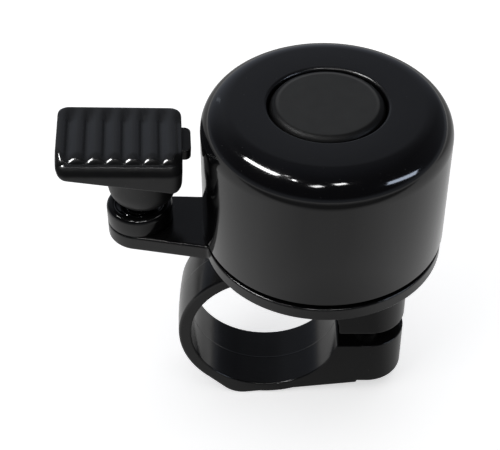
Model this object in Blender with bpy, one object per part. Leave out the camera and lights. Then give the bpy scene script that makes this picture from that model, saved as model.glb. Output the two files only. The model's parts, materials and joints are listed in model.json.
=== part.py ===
"""Bicycle bell: a dome on a moulded base, struck by a thumb lever that stands on a coil spring.

The base carries a hinged clamp band that closes round the handlebar.
Sizes are in millimetres and turn into metres on the way into Blender.
Shapes are laid out from the centre of the handlebar bore, then all moved so that
the origin is in the middle of the bell's footprint, at the lowest point of the band.
The handlebar runs along Y, the dome stands up along +Z, and the thumb lever is on the -X side.
"""

from math import atan2, cos, hypot, pi, radians, sin, sqrt

import bmesh
import bpy
from mathutils import Matrix, Vector

MM = 0.001
FOOTPRINT_CENTRE = (-1.94, 0.0, -13.5)  # the finished origin, seen from the bore's centre
GAP = 0.3  # clearance between neighbouring pieces
SNUG = 0.15  # clearance round small pressed-in hardware
OVERRUN = 1.0  # how far a cutter runs past the face it opens
FLOOR = 0.8  # thin moulded floor or web

# Handlebar clamp
BORE_R = 11.35
BAND_R = 13.2
BAND_HALF = 5.65
EAR_X = 16.0
SLOT_TOP = 0.15
SLOT_BOTTOM = -2.6
EAR_BOTTOM = -10.65
HINGE_GAP = 0.3
SADDLE_LEFT = -5.0
BAND_CORNER = (-4.93, -13.73)
BAND_CORNER_R = 4.0
RAMP_END = (14.5, -11.05)

# Dome and its cap
DOME_X = 8.35
DOME_R = 17.5
DOME_BOTTOM = 18.24
DOME_TOP = 39.8
DOME_WALL = 1.0
DOME_CORNER_R = 4.33
RECESS_R = 8.35
RECESS_LIP_R = 0.8
RECESS_FLOOR = 34.6
CAP_R = 7.95
CAP_EDGE_R = 1.1
CAP_TOP = 39.7
CAP_WALL = 1.3

# Base disc, centre post and arm
DISC_R = 17.35
DISC_TOP = 17.46
DISC_BOTTOM = 15.36
POST_R = 4.6
POST_TOP = 32.4
ARM_BOTTOM = 14.95
ARM_TOP = 17.4
ARM_END = (-18.55, 2.1)
ARM_END_R = 4.85
ARM_ROOT = (-4.0, 0.5)
ARM_ROOT_R = 6.0

# Spring cup on the end of the arm
CUP_TOP = 20.26
CUP_EDGE_R = 0.4
CUP_BORE_R = 2.6
CUP_MOUTH_R = 3.4
CUP_MOUTH_DEPTH = 0.7
CUP_FLOOR = 16.6
SPIGOT_R = 3.6
SPIGOT_BOTTOM = 15.8

# Hammer spring
PIVOT_Z = 20.4
WIRE_R = 0.32
COIL_R = 1.93
COIL_PITCH = 0.78
SPRING_BELOW = -3.0
SPRING_ABOVE = 4.0
BEND_HALF = 1.0

# Thumb lever, in its own frame: origin on the pivot, +X towards the dome
LEVER_TILT = radians(3.67)
LEVER_TURN = radians(3.8)
PAD_LEFT = -11.6
PAD_RIGHT = 5.95
PAD_FRONT = -6.9
PAD_BACK = 6.5
PAD_TOP = 12.1
PAD_BOTTOM_LEFT = 9.3
PAD_BOTTOM_RIGHT = 7.1
PAD_CORNER_R = 1.8
RIBS = 7
FIRST_RIB = -10.5
RIB_PITCH = 2.47
RIB_R = 1.0
RIB_HEIGHT = 0.4
NECK_X = 0.4
NECK_PROFILE = (
    (2.6, 0.6), (3.2, 0.95), (3.8, 1.4), (4.35, 2.0), (4.75, 2.8), (4.95, 3.9), (5.05, 5.4),
    (5.05, 8.6),
)
SOCKET_R = 2.45
SOCKET_TOP = 4.6
STRIKER_RIGHT = 7.25
STRIKER_LEFT = 2.2
STRIKER_Y = 0.35
STRIKER_WIDTH = 5.2
STRIKER_LOW = 9.6
STRIKER_HIGH = 11.3

# Fasteners
M4_R = 1.85
M4_HOLE_R = 2.4
INSERT_R = 3.0
INSERT_BOTTOM = 23.0
DOME_SCREW_END = 24.5
CLAMP_SCREW_TOP = 7.6
CLAMP_TRAVEL = 2.2  # how far the screw's end rises as the clamp is pulled shut
COUNTERBORE_R = 3.9
COUNTERBORE_TOP = -7.6
SCREW_HEAD_R = 3.3
NUT_HALF = 3.5
NUT_LOW = 3.4
NUT_HEIGHT = 2.2
ANCHOR_R = 1.2

ROUND = 48
SMALL_ROUND = 24


def clear_scene():
    for old in list(bpy.data.objects):
        bpy.data.objects.remove(old, do_unlink=True)


def make_material(name, colour, roughness, metallic):
    material = bpy.data.materials.new(name)
    material.use_nodes = True
    shader = material.node_tree.nodes["Principled BSDF"]
    shader.inputs["Base Color"].default_value = (*colour, 1.0)
    shader.inputs["Roughness"].default_value = roughness
    shader.inputs["Metallic"].default_value = metallic
    return material


def add_object(name, bm, material=None, frame=None):
    """Turns millimetre geometry into a named object in metres."""
    bmesh.ops.recalc_face_normals(bm, faces=bm.faces)
    bmesh.ops.scale(bm, vec=(MM, MM, MM), verts=bm.verts)
    mesh = bpy.data.meshes.new(name)
    bm.to_mesh(mesh)
    bm.free()
    mesh.shade_smooth()
    mesh.set_sharp_from_angle(angle=radians(35))
    obj = bpy.data.objects.new(name, mesh)
    bpy.context.scene.collection.objects.link(obj)
    if material:
        mesh.materials.append(material)
    else:
        obj.hide_render = True
        obj.display_type = "WIRE"
    if frame:
        obj.parent = frame
    return obj


def turned(name, profile, centre=(0, 0), material=None, steps=ROUND, frame=None):
    """A body turned about a vertical axis from (radius, height) points."""
    bm = bmesh.new()
    points = [bm.verts.new((radius, 0, height)) for radius, height in profile]
    edges = [bm.edges.new(pair) for pair in zip(points, points[1:])]
    if profile[0][0] > 0:
        edges.append(bm.edges.new((points[-1], points[0])))
    bmesh.ops.spin(
        bm, geom=points + edges, cent=(0, 0, 0), axis=(0, 0, 1),
        angle=2 * pi, steps=steps, use_merge=True,
    )
    bmesh.ops.remove_doubles(bm, verts=bm.verts, dist=1e-4)
    bmesh.ops.translate(bm, vec=(*centre, 0), verts=bm.verts)
    return add_object(name, bm, material, frame)


def disc(name, radius, low, high, centre=(0, 0), material=None, steps=SMALL_ROUND, frame=None):
    profile = ((0, high), (radius, high), (radius, low), (0, low))
    return turned(name, profile, centre, material, steps, frame)


def washer(name, inner, outer, low, high, centre, material):
    profile = ((inner, high), (outer, high), (outer, low), (inner, low))
    return turned(name, profile, centre, material, SMALL_ROUND)


def prism(name, outline, low, high, material=None, along="z", frame=None):
    """An outline in XY pushed along Z, or an outline in XZ pushed along Y."""
    bm = bmesh.new()
    if along == "z":
        face = bm.faces.new([bm.verts.new((x, y, low)) for x, y in outline])
        push = (0, 0, high - low)
    else:
        face = bm.faces.new([bm.verts.new((x, low, z)) for x, z in outline])
        push = (0, high - low, 0)
    made = bmesh.ops.extrude_face_region(bm, geom=[face])["geom"]
    moved = [item for item in made if isinstance(item, bmesh.types.BMVert)]
    bmesh.ops.translate(bm, vec=push, verts=moved)
    return add_object(name, bm, material, frame)


def arc(centre, radius, start, end, steps):
    """Points from angle start to angle end, in degrees, both included."""
    angles = [radians(start + (end - start) * i / steps) for i in range(steps + 1)]
    return [(centre[0] + radius * cos(a), centre[1] + radius * sin(a)) for a in angles]


def rounded_box_outline(x0, y0, x1, y1, radius, steps=5):
    corners = (
        ((x1 - radius, y0 + radius), -90),
        ((x1 - radius, y1 - radius), 0),
        ((x0 + radius, y1 - radius), 90),
        ((x0 + radius, y0 + radius), 180),
    )
    return [point for centre, start in corners for point in arc(centre, radius, start, start + 90, steps)]


def boolean(obj, other, operation):
    modifier = obj.modifiers.new(f"{operation.lower()}_{other.name}", "BOOLEAN")
    modifier.operation = operation
    modifier.solver = "EXACT"
    modifier.object = other


def cut(obj, *cutters):
    for cutter in cutters:
        boolean(obj, cutter, "DIFFERENCE")


def join(obj, *others):
    for other in others:
        boolean(obj, other, "UNION")


def tangent_corner(corner, radius, direction_in, direction_out, steps=6):
    """A rounded corner between two straight runs that meet at corner."""
    turn = atan2(
        direction_in[0] * direction_out[1] - direction_in[1] * direction_out[0],
        direction_in[0] * direction_out[0] + direction_in[1] * direction_out[1],
    )
    back = radius * abs(sin(turn / 2) / cos(turn / 2))
    start = (corner[0] - back * direction_in[0], corner[1] - back * direction_in[1])
    side = (-direction_in[1], direction_in[0])
    centre = (start[0] + radius * side[0], start[1] + radius * side[1])
    first = atan2(start[1] - centre[1], start[0] - centre[0])
    angles = [first + turn * i / steps for i in range(steps + 1)]
    return [(centre[0] + radius * cos(a), centre[1] + radius * sin(a)) for a in angles]


def unit(start, end):
    length = hypot(end[0] - start[0], end[1] - start[1])
    return ((end[0] - start[0]) / length, (end[1] - start[1]) / length)


def bore_angle(height):
    """Angle, in degrees, at which the bore passes this height on its right side."""
    return atan2(height, sqrt(BORE_R**2 - height**2)) * 180 / pi


def ear_plan():
    """Plan of the clamp: straight flanks and a half-round right end."""
    left = -BAND_R - OVERRUN
    return arc((EAR_X, 0), BAND_HALF, -90, 90, 24) + [(left, BAND_HALF), (left, -BAND_HALF)]


def build_base(plastic):
    ear_right = EAR_X + BAND_HALF + OVERRUN
    hinge_top = HINGE_GAP / 2
    saddle_angle = 180 / pi * atan2(sqrt(BAND_R**2 - SADDLE_LEFT**2), SADDLE_LEFT)
    outline = (
        [(SADDLE_LEFT, DISC_BOTTOM + FLOOR)]
        + arc((0, 0), BAND_R, saddle_angle, 180 - hinge_top / BAND_R * 180 / pi, 16)
        + arc((0, 0), BORE_R, 180 - hinge_top / BORE_R * 180 / pi, bore_angle(SLOT_TOP), 40)
        + [(ear_right, SLOT_TOP), (ear_right, DISC_BOTTOM + FLOOR)]
    )
    base = prism("base", outline, -BAND_HALF - OVERRUN, BAND_HALF + OVERRUN, plastic, along="y")
    boolean(base, prism("base_plan_limit", ear_plan(), -OVERRUN, DISC_TOP), "INTERSECT")

    plate = disc("base_plate", DISC_R, DISC_BOTTOM, DISC_TOP, (DOME_X, 0), steps=72)
    hole_r = INSERT_R + SNUG
    post_profile = (
        (0, INSERT_BOTTOM - GAP), (hole_r, INSERT_BOTTOM - GAP),
        (hole_r, POST_TOP), (POST_R, POST_TOP), (POST_R, DISC_TOP + 3),
        (POST_R + 1.2, DISC_TOP + 1.2), (POST_R + 3.3, DISC_TOP - 0.3), (0, DISC_TOP - 0.3),
    )
    post = turned("base_post", post_profile, (DOME_X, 0))
    arm = prism("base_arm", arm_outline(), ARM_BOTTOM, ARM_TOP)
    join(base, plate, post, arm)

    spigot_hole = disc("spigot_hole", SPIGOT_R + GAP / 2, SPIGOT_BOTTOM - SNUG, DISC_TOP + OVERRUN, ARM_END)
    anchor_sink = turned(
        "anchor_sink",
        ((0, SPIGOT_BOTTOM), (ANCHOR_R + SNUG, SPIGOT_BOTTOM), (ANCHOR_R + SNUG, ARM_BOTTOM + 0.75),
         (ANCHOR_R + 1.2, ARM_BOTTOM - GAP), (0, ARM_BOTTOM - GAP)),
        ARM_END, steps=SMALL_ROUND,
    )
    hole_end = CLAMP_SCREW_TOP + CLAMP_TRAVEL
    screw_hole = disc("upper_screw_hole", M4_HOLE_R, SLOT_TOP - OVERRUN, hole_end, (EAR_X, 0))
    pocket_side = NUT_HALF + SNUG
    pocket = prism(
        "nut_pocket",
        [(EAR_X - pocket_side, -pocket_side), (EAR_X + pocket_side, -pocket_side),
         (EAR_X + pocket_side, BAND_HALF + OVERRUN), (EAR_X - pocket_side, BAND_HALF + OVERRUN)],
        NUT_LOW - SNUG, NUT_LOW + NUT_HEIGHT + SNUG,
    )
    cut(base, spigot_hole, anchor_sink, screw_hole, pocket)
    return base


def arm_outline():
    """Plan of the arm: round at the spring cup, and wider where it runs under the dome."""
    run = unit(ARM_END, ARM_ROOT)
    heading = atan2(run[1], run[0]) * 180 / pi
    root = [(ARM_ROOT[0] + ARM_ROOT_R * run[1], ARM_ROOT[1] - ARM_ROOT_R * run[0]),
            (ARM_ROOT[0] - ARM_ROOT_R * run[1], ARM_ROOT[1] + ARM_ROOT_R * run[0])]
    return root + arc(ARM_END, ARM_END_R, heading + 90, heading + 270, 24)


def build_clamp_strap(plastic):
    hinge_bottom = HINGE_GAP / 2
    slope_in = (sqrt(0.5), -sqrt(0.5))
    slope_out = unit(BAND_CORNER, RAMP_END)
    ear_right = EAR_X + BAND_HALF + OVERRUN
    outline = (
        arc((0, 0), BAND_R, 180 + hinge_bottom / BAND_R * 180 / pi, 225, 14)
        + tangent_corner(BAND_CORNER, BAND_CORNER_R, slope_in, slope_out)
        + [RAMP_END, (RAMP_END[0], EAR_BOTTOM), (ear_right, EAR_BOTTOM), (ear_right, SLOT_BOTTOM)]
        + arc((0, 0), BORE_R, bore_angle(SLOT_BOTTOM), -180 + hinge_bottom / BORE_R * 180 / pi, 40)
    )
    strap = prism("clamp_strap", outline, -BAND_HALF - OVERRUN, BAND_HALF + OVERRUN, plastic, along="y")
    limit = prism("strap_plan_limit", ear_plan(), BAND_CORNER[1] - OVERRUN, OVERRUN)
    boolean(strap, limit, "INTERSECT")
    cut(
        strap,
        disc("lower_screw_hole", M4_HOLE_R, COUNTERBORE_TOP - OVERRUN, SLOT_BOTTOM + OVERRUN, (EAR_X, 0)),
        disc("counterbore", COUNTERBORE_R, EAR_BOTTOM - OVERRUN, COUNTERBORE_TOP, (EAR_X, 0)),
    )
    put_origin(strap, (-(BORE_R + BAND_R) / 2, 0, 0))
    return strap


def build_dome(paint):
    corner = (DOME_R - DOME_CORNER_R, DOME_TOP - DOME_CORNER_R)
    lip = (RECESS_R + RECESS_LIP_R, DOME_TOP - RECESS_LIP_R)
    under = RECESS_FLOOR - DOME_WALL
    ceiling = DOME_TOP - DOME_WALL
    profile = (
        [(M4_HOLE_R, RECESS_FLOOR), (RECESS_R - 0.6, RECESS_FLOOR), (RECESS_R, RECESS_FLOOR + 0.6)]
        + arc(lip, RECESS_LIP_R, 180, 90, 4)
        + arc(corner, DOME_CORNER_R, 90, 0, 9)
        + [(DOME_R, DOME_BOTTOM), (DOME_R - DOME_WALL, DOME_BOTTOM)]
        + arc(corner, DOME_CORNER_R - DOME_WALL, 0, 90, 5)
        + [(RECESS_R + DOME_WALL + 0.4, ceiling), (RECESS_R + DOME_WALL, ceiling - 0.4),
           (RECESS_R + DOME_WALL, under + 0.6), (RECESS_R + DOME_WALL - 0.6, under), (M4_HOLE_R, under)]
    )
    return turned("dome", profile, (DOME_X, 0), paint, steps=64)


def build_dome_cap(plastic):
    bottom = RECESS_FLOOR + GAP
    edge = (CAP_R - CAP_EDGE_R, CAP_TOP - CAP_EDGE_R)
    inner = CAP_R - CAP_WALL
    ceiling = CAP_TOP - CAP_WALL
    profile = (
        [(0, CAP_TOP)]
        + arc(edge, CAP_EDGE_R, 90, 0, 6)
        + [(CAP_R, bottom + 0.5), (CAP_R - 0.5, bottom), (inner, bottom), (inner, ceiling), (0, ceiling)]
    )
    return turned("dome_cap", profile, (DOME_X, 0), plastic)


def pan_head_screw(name, head_r, head_low, head_high, end, centre, material):
    """A screw whose head is at head_low..head_high and whose shank reaches end."""
    down = end < head_low
    near = head_low if down else head_high
    far = head_high if down else head_low
    step = 1 if down else -1
    driver_r = 1.1
    driver_floor = far - step * 1.0
    profile = [
        (0, driver_floor), (driver_r, driver_floor), (driver_r, far), (head_r * 0.75, far),
        (head_r, far - step * 0.6), (head_r, near), (M4_R, near), (M4_R, end + step * 0.5),
        (M4_R - 0.5, end), (0, end),
    ]
    return turned(name, profile, centre, material, SMALL_ROUND)


def build_dome_fasteners(materials):
    centre = (DOME_X, 0)
    floor = RECESS_FLOOR
    steel = materials["steel"]
    washer("dome_screw_washer", M4_HOLE_R, 4.6, floor + SNUG, floor + 0.85, centre, steel)
    washer("dome_lock_washer", M4_HOLE_R - 0.1, 3.6, floor + 1.0, floor + 1.6, centre, steel)
    pan_head_screw("dome_screw", 3.6, floor + 1.75, floor + 3.55, DOME_SCREW_END, centre, steel)
    under = floor - DOME_WALL
    washer("dome_grommet", M4_HOLE_R, 4.9, POST_TOP + SNUG, under - SNUG, centre, materials["rubber"])
    washer("post_insert", M4_R + SNUG, INSERT_R, INSERT_BOTTOM, POST_TOP - SNUG, centre, materials["brass"])


def build_clamp_fasteners(materials):
    centre = (EAR_X, 0)
    steel = materials["steel"]
    seat = COUNTERBORE_TOP - SNUG
    washer("clamp_washer", M4_HOLE_R - 0.1, 3.6, seat - 0.7, seat, centre, steel)
    head_high = seat - 0.7 - SNUG
    screw = pan_head_screw(
        "clamp_screw", SCREW_HEAD_R, head_high - 2.0, head_high, CLAMP_SCREW_TOP, centre, steel
    )
    put_origin(screw, (EAR_X, 0, head_high))
    x, half = EAR_X, NUT_HALF
    square = [(x - half, -half), (x + half, -half), (x + half, half), (x - half, half)]
    nut = prism("clamp_nut", square, NUT_LOW, NUT_LOW + NUT_HEIGHT, steel)
    cut(nut, disc("nut_bore", M4_HOLE_R, NUT_LOW - OVERRUN, NUT_LOW + NUT_HEIGHT + OVERRUN, centre))


def build_spring_cup(plastic):
    seam = ARM_TOP + SNUG
    profile = [
        (CUP_BORE_R, CUP_TOP - CUP_MOUTH_DEPTH), (CUP_MOUTH_R, CUP_TOP),
        (ARM_END_R - CUP_EDGE_R, CUP_TOP), (ARM_END_R, CUP_TOP - CUP_EDGE_R), (ARM_END_R, seam),
        (SPIGOT_R, seam), (SPIGOT_R, SPIGOT_BOTTOM), (ANCHOR_R + SNUG, SPIGOT_BOTTOM),
        (ANCHOR_R + SNUG, CUP_FLOOR), (CUP_BORE_R, CUP_FLOOR),
    ]
    turned("spring_cup", profile, ARM_END, plastic, steps=48)


def build_spring_anchor(materials):
    head_low = ARM_BOTTOM + 0.1
    profile = [
        (0, PIVOT_Z - 0.9), (ANCHOR_R, PIVOT_Z - 0.9), (ANCHOR_R, ARM_BOTTOM + 0.85),
        (ANCHOR_R + 0.75, head_low), (0, head_low),
    ]
    turned("spring_anchor_screw", profile, ARM_END, materials["steel"], SMALL_ROUND)
    washer("spring_seat_washer", ANCHOR_R + SNUG, CUP_BORE_R - SNUG, CUP_FLOOR + 0.1, CUP_FLOOR + 0.5,
           ARM_END, materials["steel"])


def spring_point(height):
    """Centre line of the spring and the lean of its turns at this height from the pivot."""
    share = min(max((height + BEND_HALF) / (2 * BEND_HALF), 0), 1)
    lean = LEVER_TILT * share * share * (3 - 2 * share)
    offset = sin(LEVER_TILT) * max(height, 0)
    return offset, lean


def build_hammer_spring(steel):
    """A close-wound coil, swept as a small polygon along a helix that leans with the lever."""
    turns = (SPRING_ABOVE - SPRING_BELOW) / COIL_PITCH
    steps_per_turn, sides = 16, 5
    steps = round(turns * steps_per_turn)
    toward_lever = Matrix.Rotation(LEVER_TURN, 3, "Z")
    bm = bmesh.new()
    rings = []
    for i in range(steps + 1):
        share = i / steps
        turn = 2 * pi * turns * share
        offset, lean = spring_point(SPRING_BELOW + (SPRING_ABOVE - SPRING_BELOW) * share)
        height = SPRING_BELOW + (SPRING_ABOVE - SPRING_BELOW) * share
        tilt = Matrix.Rotation(lean, 3, "Y")
        out = Vector((cos(turn), sin(turn), 0))
        ring = []
        for j in range(sides):
            angle = 2 * pi * j / sides
            local = out * (COIL_R + WIRE_R * cos(angle)) + Vector((0, 0, WIRE_R * sin(angle)))
            point = toward_lever @ (tilt @ local + Vector((offset, 0, height)))
            ring.append(bm.verts.new(point + Vector((*ARM_END, PIVOT_Z))))
        rings.append(ring)
    for ring, following in zip(rings, rings[1:]):
        for j in range(sides):
            k = (j + 1) % sides
            bm.faces.new((ring[j], ring[k], following[k], following[j]))
    bm.faces.new(rings[0])
    bm.faces.new(rings[-1])
    spring = add_object("hammer_spring", bm, steel)
    put_origin(spring, (*ARM_END, PIVOT_Z))


def put_origin(obj, place):
    """Moves an object's origin to a point on its joint, and leaves its shape where it is."""
    offset = Vector(place) * MM
    obj.data.transform(Matrix.Translation(-offset))
    obj.location = offset


def move_origin_to_footprint():
    """Objects under the lever's empty follow it, so only the others are moved."""
    for obj in bpy.data.objects:
        if obj.parent is None:
            obj.location -= Vector(FOOTPRINT_CENTRE) * MM


def lever_frame():
    """An empty on the pivot, leaning towards the dome as the lever does at rest."""
    frame = bpy.data.objects.new("lever_pivot", None)
    bpy.context.scene.collection.objects.link(frame)
    frame.location = (ARM_END[0] * MM, ARM_END[1] * MM, PIVOT_Z * MM)
    frame.rotation_euler = (0, LEVER_TILT, LEVER_TURN)
    return frame


def build_thumb_lever(plastic, frame):
    bevelled_left = PAD_LEFT + 1.2
    side = [
        (PAD_LEFT, PAD_TOP), (PAD_LEFT, PAD_BOTTOM_LEFT + 1.4), (bevelled_left, PAD_BOTTOM_LEFT),
        (PAD_RIGHT - 1.0, PAD_BOTTOM_RIGHT), (PAD_RIGHT, PAD_BOTTOM_RIGHT + 1.0), (PAD_RIGHT, PAD_TOP),
    ]
    low, high = PAD_FRONT - OVERRUN, PAD_BACK + OVERRUN
    lever = prism("thumb_lever", side, low, high, plastic, along="y", frame=frame)
    plan = rounded_box_outline(PAD_LEFT, PAD_FRONT, PAD_RIGHT, PAD_BACK, PAD_CORNER_R)
    boolean(lever, prism("pad_plan_limit", plan, 0, PAD_TOP + OVERRUN, frame=frame), "INTERSECT")
    for i in range(RIBS):
        x = FIRST_RIB + i * RIB_PITCH
        crest = arc((x, PAD_TOP + RIB_HEIGHT - RIB_R), RIB_R, 0, 180, 10)
        foot = [(x - RIB_R, PAD_TOP - 0.8), (x + RIB_R, PAD_TOP - 0.8)]
        rib = prism(f"rib_{i + 1}", crest + foot, PAD_FRONT + 0.8, PAD_BACK - 0.5, along="y", frame=frame)
        join(lever, rib)
    neck = [(0, NECK_PROFILE[-1][1])] + list(reversed(NECK_PROFILE)) + [(0, NECK_PROFILE[0][1])]
    join(lever, turned("lever_neck", neck, (NECK_X, 0), steps=48, frame=frame))
    stud_hole_top = PAD_TOP - 2.8
    cut(
        lever,
        disc("spring_socket", SOCKET_R, 0, SOCKET_TOP, frame=frame),
        disc("stud_hole", ANCHOR_R + SNUG, 0, stud_hole_top, frame=frame),
        striker_block("striker_slot", SNUG, frame),
    )
    return lever


def striker_block(name, margin, frame, material=None):
    half = STRIKER_WIDTH / 2 + margin
    right = STRIKER_RIGHT + (OVERRUN if margin else 0)
    outline = rounded_box_outline(
        STRIKER_LEFT - margin, STRIKER_Y - half, right, STRIKER_Y + half, 0.6, steps=3
    )
    return prism(name, outline, STRIKER_LOW - margin, STRIKER_HIGH + margin, material, frame=frame)


def build_lever_hardware(materials, frame):
    striker_block("striker", 0, frame, materials["striker"])
    disc("lever_stud", ANCHOR_R, 0.4, PAD_TOP - 3.1, material=materials["steel"], frame=frame)


def main():
    clear_scene()
    materials = {
        "plastic": make_material("black_moulded_plastic", (0.02, 0.02, 0.021), 0.32, 0.0),
        "matte": make_material("matte_black_plastic", (0.032, 0.032, 0.033), 0.6, 0.0),
        "paint": make_material("gloss_black_paint", (0.012, 0.012, 0.014), 0.08, 0.0),
        "steel": make_material("plated_steel", (0.55, 0.55, 0.56), 0.3, 1.0),
        "striker": make_material("blackened_steel", (0.05, 0.05, 0.05), 0.4, 0.8),
        "spring": make_material("black_spring_steel", (0.03, 0.03, 0.03), 0.3, 0.9),
        "brass": make_material("brass", (0.75, 0.55, 0.22), 0.3, 1.0),
        "rubber": make_material("rubber", (0.015, 0.015, 0.015), 0.8, 0.0),
    }
    build_base(materials["plastic"])
    build_clamp_strap(materials["plastic"])
    build_dome(materials["paint"])
    build_dome_cap(materials["matte"])
    build_dome_fasteners(materials)
    build_clamp_fasteners(materials)
    build_spring_cup(materials["plastic"])
    build_spring_anchor(materials)
    build_hammer_spring(materials["spring"])
    frame = lever_frame()
    build_thumb_lever(materials["plastic"], frame)
    build_lever_hardware(materials, frame)
    move_origin_to_footprint()


main()
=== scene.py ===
import json
from math import cos, pi, radians, sin

import bpy
import numpy as np
from mathutils import Matrix, Vector


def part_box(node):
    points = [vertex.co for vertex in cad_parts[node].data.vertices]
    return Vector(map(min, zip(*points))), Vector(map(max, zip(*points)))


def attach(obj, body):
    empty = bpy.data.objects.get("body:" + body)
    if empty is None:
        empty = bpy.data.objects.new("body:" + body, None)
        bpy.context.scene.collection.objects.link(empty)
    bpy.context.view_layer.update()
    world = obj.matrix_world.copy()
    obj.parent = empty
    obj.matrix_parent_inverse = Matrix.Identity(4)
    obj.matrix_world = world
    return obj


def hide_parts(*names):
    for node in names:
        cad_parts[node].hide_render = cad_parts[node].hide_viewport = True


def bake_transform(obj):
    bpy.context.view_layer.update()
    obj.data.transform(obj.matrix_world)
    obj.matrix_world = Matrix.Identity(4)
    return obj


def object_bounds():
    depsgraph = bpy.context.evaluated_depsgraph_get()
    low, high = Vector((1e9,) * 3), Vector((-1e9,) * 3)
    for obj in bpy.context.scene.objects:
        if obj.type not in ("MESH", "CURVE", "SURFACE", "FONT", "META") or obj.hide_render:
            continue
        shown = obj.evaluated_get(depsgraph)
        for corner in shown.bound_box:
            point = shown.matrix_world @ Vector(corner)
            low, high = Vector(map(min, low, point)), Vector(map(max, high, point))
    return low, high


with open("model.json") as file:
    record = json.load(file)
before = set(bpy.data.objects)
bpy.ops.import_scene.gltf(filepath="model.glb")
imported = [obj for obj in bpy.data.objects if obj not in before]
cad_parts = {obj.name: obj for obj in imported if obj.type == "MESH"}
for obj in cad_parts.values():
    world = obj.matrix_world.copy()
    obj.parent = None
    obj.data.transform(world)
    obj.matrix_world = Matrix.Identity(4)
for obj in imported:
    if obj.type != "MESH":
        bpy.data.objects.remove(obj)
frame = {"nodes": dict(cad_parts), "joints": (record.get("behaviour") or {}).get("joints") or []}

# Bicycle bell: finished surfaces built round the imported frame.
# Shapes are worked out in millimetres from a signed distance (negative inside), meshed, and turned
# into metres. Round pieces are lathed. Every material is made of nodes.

CAD_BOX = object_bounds()
MM = 0.001
COARSE = 1.0

# Handlebar band and clamp ears, in a side view with the bore's centre at (0, 0)
BORE_R = 11.35
BAND_R = 13.2
BAND_CROWN = 0.22
SLOT_TOP = 0.15
SLOT_BOTTOM = -2.6
EAR_BOTTOM = -10.65
EAR_START = 10.0
SADDLE_LEFT = -5.0
SADDLE_FILLET_R = 0.9
BAND_CORNER = (-4.93, -13.73)
BAND_CORNER_R = 4.0
RAMP_END = (14.5, -11.05)
BAND_EDGE_R = 0.35
BORE_EDGE_R = 0.18
SCREW_HOLE_R = 2.4
SCREW_HOLE_END = 9.8
COUNTERBORE_R = 3.9
COUNTERBORE_TOP = -7.6
HARDWARE_GAP = 0.15  # room round small fixed hardware

# Plate under the dome, post inside it, and the lever's arm
PLATE_TOP = 17.46
PLATE_BOTTOM = 15.36
PLATE_EDGE_R = 0.28
WITHIN_PLATE = 17  # a height inside the plate, where the post and the arm's holes meet it
POST_R = 4.6
POST_FILLET_R = 2.0
POST_BORE_R = 3.15
POST_BORE_END = 22.7
ARM_BOTTOM = 14.95
ARM_EDGE_R = 0.38
ARM_ROOT = (-4.0, 0.5)
ARM_ROOT_R = 6.0
SPIGOT_HOLE_R = 3.75
SPIGOT_HOLE_END = 15.65
ANCHOR_HOLE_R = 1.35
ANCHOR_SINK_RISE = 0.75
ANCHOR_SINK_DEPTH = 1.05

# Dome and cap
DOME_WALL = 1.0
DOME_CORNER_R = 4.33
DOME_HOLE_R = 2.4
RECESS_R = 8.25
RECESS_LIP_R = 0.5
RECESS_FLOOR = 34.6
RECESS_CORNER_R = 0.6
CAP_EDGE_R = 1.15
CAP_RISE = 0.3
CAP_WALL = 1.3

# Spring cup
CUP_RISE = 0.25
CUP_RING_R = 0.73
CUP_MOUTH_DROP = 1.1
CUP_BORE_R = 2.6
CUP_FLOOR = 16.6
SPIGOT_R = 3.6

# Thumb lever, in its own frame
LEVER_TILT = radians(3.67)
LEVER_TURN = radians(3.8)
PAD_LEFT, PAD_RIGHT = -11.85, 6.1
PAD_FRONT, PAD_BACK = -6.9, 6.5
PAD_CORNER_R = 1.8
PAD_EDGE_R = 0.55
PAD_SIDE_R = 0.4
PAD_UNDER_LEFT_R, PAD_UNDER_RIGHT_R = 1.8, 1.3
UNDERSIDE_START = (-10.4, 9.3)  # where the sloping underside begins, and which way it runs
UNDERSIDE_RUN = (15.35, -2.2)
RIB_CREST = 12.48
RIB_DEPTH = 0.8
FIRST_RIB = -11.2
RIB_PITCH = 2.59
RIB_FRONT, RIB_BACK = -5.75, 6.2
RIB_END = 1.8
RIB_FADE = 3.2
RIB_ROUNDNESS = 0.10
FRONT_LIP_R = 1.9
FRONT_LIP_START, FRONT_LIP_RUN = -3.0, 2.4
NECK_X = 0.4
NECK_FOOT, NECK_BELLY, NECK_TOP = 0.6, 5.0, 9.6
NECK_FOOT_R, NECK_BELLY_R = 2.6, 5.05
NECK_FLARE = 3.5
SOCKET_R, SOCKET_TOP = 2.45, 4.6
STUD_HOLE_R, STUD_HOLE_TOP = 1.35, 9.3
STRIKER_LEFT, STRIKER_RIGHT = 2.2, 7.25
STRIKER_LOW, STRIKER_HIGH = 9.6, 11.3
STRIKER_Y = 0.5
STRIKER_HALF = 2.75
STRIKER_CORNER_R = 0.95
STRIKER_EDGE_R = 0.18
STRIKER_GAP = 0.12

# Spring
WIRE_R = 0.32
COIL_R = 1.93
COIL_PITCH = 0.67
SPRING_BELOW, SPRING_ABOVE = -3.0, 4.0
SPRING_BEND_HALF = 1.0

# Screws
THREAD_PITCH = 0.7
THREAD_ROOT_R = 1.62
THREAD_DEPTH = 0.22
SCREW_HEAD_R = 3.3
SCREW_HEAD_HEIGHT = 2.0
ANCHOR_R = 1.2
ANCHOR_HEAD_R = 1.9
ANCHOR_CONE_HEIGHT = 0.75
CLAMP_CROSS = (0.32, 1.55)  # half width and reach of the driver's cross
CLAMP_CROSS_DEPTH = 1.3
ANCHOR_CROSS = (0.2, 0.95)
ANCHOR_CROSS_DEPTH = 0.8

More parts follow.
